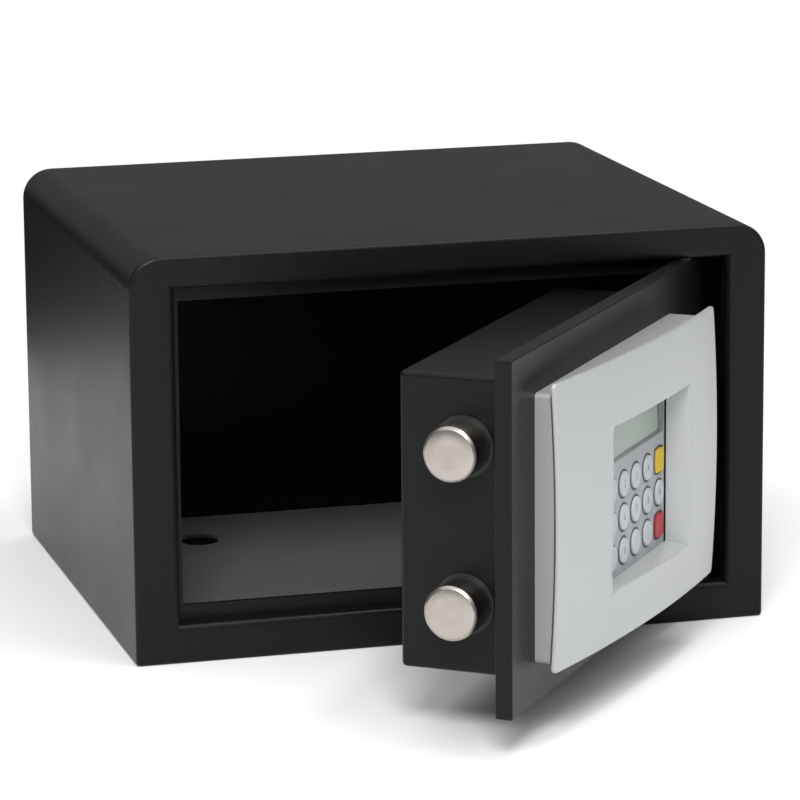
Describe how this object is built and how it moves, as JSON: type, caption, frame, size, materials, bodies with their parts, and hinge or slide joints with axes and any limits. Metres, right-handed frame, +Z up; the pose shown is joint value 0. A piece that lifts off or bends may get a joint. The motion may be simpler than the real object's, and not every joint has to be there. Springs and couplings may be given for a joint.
{
  "type": "in room safe",
  "caption": "Black steel in-room safe with an open hinged door, motor-driven round bolts and a silver pillow-shaped keypad panel.",
  "frame": {"origin": "centre of the cabinet's underside", "axes": "+Z up, the door opening faces -Y, the hinge is on the +X side"},
  "size_m": [0.4, 0.5913, 0.25],
  "materials": {
    "cabinet_paint": "black powder coat, fine orange peel, semi-gloss",
    "door_paint": "black powder coat, fine orange peel, semi-gloss",
    "bright_steel": "ground bright steel",
    "bolt_steel": "turned and nickel plated, faint lathe rings",
    "brass": "plain brass",
    "carpet": "short needle felt, charcoal",
    "zinc_steel": "zinc plated",
    "screw_steel": "zinc plated",
    "bush_nylon": "black nylon",
    "gearbox_plastic": "natural acetal",
    "motor_can": "drawn steel can",
    "circuit_board": "green solder mask",
    "board_parts": "black moulded parts",
    "dark_plastic": "black moulded plastic, fine grain",
    "cell_jacket": "dark printed jacket, bare ends",
    "contact_metal": "nickel plated spring steel",
    "panel_backing": "silver grey moulded plastic",
    "panel_silver": "silver lacquered plastic, satin",
    "key_plate": "mid grey plastic",
    "display_glass": "clear window",
    "display_body": "grey green liquid crystal cell",
    "black_rubber": "black rubber",
    "key_grey": "light grey plastic, dark digit",
    "key_yellow": "yellow plastic",
    "key_red": "red plastic"
  },
  "bodies": {
    "cabinet": {"cabinet_wrap": "cabinet_paint", "front_frame": "cabinet_paint", "floor_plate": "cabinet_paint", "back_plate": "cabinet_paint", "strike_bar": "cabinet_paint", "door_stops": "cabinet_paint", "hinge_lugs": "cabinet_paint", "hinge_pins": "bright_steel", "hinge_washers": "bush_nylon", "floor_mat": "carpet"},
    "bolt_work": {"upper_bolt": "bolt_steel", "lower_bolt": "bolt_steel", "bolt_carriage": "zinc_steel", "carriage_screws": "screw_steel", "drive_rack": "zinc_steel"},
    "pinion": {"drive_pinion": "brass", "pinion_shaft": "bright_steel"},
    "battery_flap": {"battery_cover": "dark_plastic"},
    "key_0": {"key_0": "key_grey"},
    "key_1": {"key_1": "key_grey"},
    "key_2": {"key_2": "key_grey"},
    "key_3": {"key_3": "key_grey"},
    "key_4": {"key_4": "key_grey"},
    "key_5": {"key_5": "key_grey"},
    "key_6": {"key_6": "key_grey"},
    "key_7": {"key_7": "key_grey"},
    "key_8": {"key_8": "key_grey"},
    "key_9": {"key_9": "key_grey"},
    "key_clear": {"key_clear": "key_grey"},
    "key_code": {"key_code": "key_grey"},
    "key_lock": {"key_lock": "key_red"},
    "key_open": {"key_open": "key_yellow"},
    "key_time": {"key_time": "key_grey"},
    "door": {"batteries": "cell_jacket", "battery_contacts": "contact_metal", "battery_holder": "dark_plastic", "board_components": "board_parts", "board_standoffs": "zinc_steel", "bolt_bushes": "bush_nylon", "cable_grommet": "black_rubber", "case_pillars": "zinc_steel", "case_screws": "screw_steel", "cover_hinge_leaf": "dark_plastic", "cover_hinge_pin": "bright_steel", "display_module": "display_body", "display_window": "display_glass", "door_plate": "door_paint", "drive_motor": "motor_can", "fascia": "panel_silver", "keypad_board": "circuit_board", "keypad_plate": "key_plate", "keypad_screws": "screw_steel", "lock_case": "door_paint", "main_circuit_board": "circuit_board", "motor_bracket": "zinc_steel", "motor_gearbox": "gearbox_plastic", "panel_backing": "panel_backing", "panel_screws": "screw_steel", "rack_guide": "bush_nylon", "switch_mat": "black_rubber"}
  },
  "joints": [
    {"name": "door_swing", "type": "hinge", "parent": "cabinet", "child": "door", "pos_m": [0.149, -0.1635, 0.127], "axis": [0, 0, 1], "range_deg": [-52.8, 47.2]},
    {"name": "bolt_slide", "type": "slide", "parent": "door", "child": "bolt_work", "axis": [-0.6046, -0.7965, 0], "range_m": [0, 0.018]},
    {"name": "pinion_spin", "type": "hinge", "parent": "door", "child": "pinion", "pos_m": [0.00073, -0.30079, 0.1351], "axis": [-0.7965, 0.6046, 0], "range_deg": [0, 115]},
    {"name": "battery_flap_hinge", "type": "hinge", "parent": "door", "child": "battery_flap", "pos_m": [0.03386, -0.18784, 0.053], "axis": [0.6046, 0.7965, 0], "range_deg": [-100, 0]},
    {"name": "key_0_press", "type": "slide", "parent": "door", "child": "key_0", "axis": [-0.7965, 0.6046, 0], "range_m": [0, 0.001], "stiffness_N_per_m": 300},
    {"name": "key_1_press", "type": "slide", "parent": "door", "child": "key_1", "axis": [-0.7965, 0.6046, 0], "range_m": [0, 0.001], "stiffness_N_per_m": 300},
    {"name": "key_2_press", "type": "slide", "parent": "door", "child": "key_2", "axis": [-0.7965, 0.6046, 0], "range_m": [0, 0.001], "stiffness_N_per_m": 300},
    {"name": "key_3_press", "type": "slide", "parent": "door", "child": "key_3", "axis": [-0.7965, 0.6046, 0], "range_m": [0, 0.001], "stiffness_N_per_m": 300},
    {"name": "key_4_press", "type": "slide", "parent": "door", "child": "key_4", "axis": [-0.7965, 0.6046, 0], "range_m": [0, 0.001], "stiffness_N_per_m": 300},
    {"name": "key_5_press", "type": "slide", "parent": "door", "child": "key_5", "axis": [-0.7965, 0.6046, 0], "range_m": [0, 0.001], "stiffness_N_per_m": 300},
    {"name": "key_6_press", "type": "slide", "parent": "door", "child": "key_6", "axis": [-0.7965, 0.6046, 0], "range_m": [0, 0.001], "stiffness_N_per_m": 300},
    {"name": "key_7_press", "type": "slide", "parent": "door", "child": "key_7", "axis": [-0.7965, 0.6046, 0], "range_m": [0, 0.001], "stiffness_N_per_m": 300},
    {"name": "key_8_press", "type": "slide", "parent": "door", "child": "key_8", "axis": [-0.7965, 0.6046, 0], "range_m": [0, 0.001], "stiffness_N_per_m": 300},
    {"name": "key_9_press", "type": "slide", "parent": "door", "child": "key_9", "axis": [-0.7965, 0.6046, 0], "range_m": [0, 0.001], "stiffness_N_per_m": 300},
    {"name": "key_clear_press", "type": "slide", "parent": "door", "child": "key_clear", "axis": [-0.7965, 0.6046, 0], "range_m": [0, 0.001], "stiffness_N_per_m": 300},
    {"name": "key_code_press", "type": "slide", "parent": "door", "child": "key_code", "axis": [-0.7965, 0.6046, 0], "range_m": [0, 0.001], "stiffness_N_per_m": 300},
    {"name": "key_lock_press", "type": "slide", "parent": "door", "child": "key_lock", "axis": [-0.7965, 0.6046, 0], "range_m": [0, 0.001], "stiffness_N_per_m": 300},
    {"name": "key_open_press", "type": "slide", "parent": "door", "child": "key_open", "axis": [-0.7965, 0.6046, 0], "range_m": [0, 0.001], "stiffness_N_per_m": 300},
    {"name": "key_time_press", "type": "slide", "parent": "door", "child": "key_time", "axis": [-0.7965, 0.6046, 0], "range_m": [0, 0.001], "stiffness_N_per_m": 300}
  ],
  "couplings": [
    {"joint": "pinion_spin", "follows": "bolt_slide", "rad_per_m": 111.11}
  ]
}
